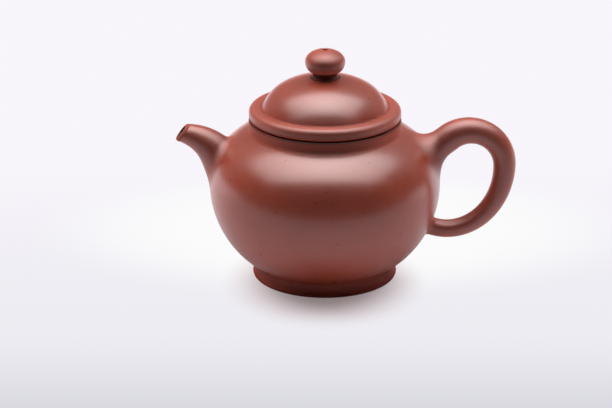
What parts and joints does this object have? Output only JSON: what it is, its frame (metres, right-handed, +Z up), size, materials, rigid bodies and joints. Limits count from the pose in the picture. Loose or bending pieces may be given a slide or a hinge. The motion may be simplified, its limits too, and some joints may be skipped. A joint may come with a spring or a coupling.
{
  "type": "clay teapot",
  "caption": "Round unglazed clay teapot with a short bent spout, an ear-shaped loop handle, a low foot ring and a lift-off domed lid with a bead knob.",
  "frame": {"origin": "centre of the foot ring's standing face, on the table", "axes": "+Z up along the pot's axis, +X towards the handle, the spout points along -X"},
  "size_m": [0.147, 0.1, 0.1018],
  "materials": {
    "pot_clay": "unglazed red-brown clay, burnished to a satin",
    "lid_clay": "unglazed red-brown clay, burnished to a satin"
  },
  "bodies": {
    "pot": {"foot_ring": "pot_clay", "base_slab": "pot_clay", "lower_wall": "pot_clay", "upper_wall": "pot_clay", "shoulder_slab": "pot_clay", "neck_ring": "pot_clay", "spout": "pot_clay", "strainer": "pot_clay", "handle": "pot_clay"},
    "lid": {"lid_rim": "lid_clay", "lid_flange": "lid_clay", "lid_dome": "lid_clay", "knob": "lid_clay"}
  },
  "joints": [
    {"name": "lid_lift", "type": "slide", "parent": "pot", "child": "lid", "axis": [0, 0, 1], "range_m": [0, 0.06]}
  ]
}
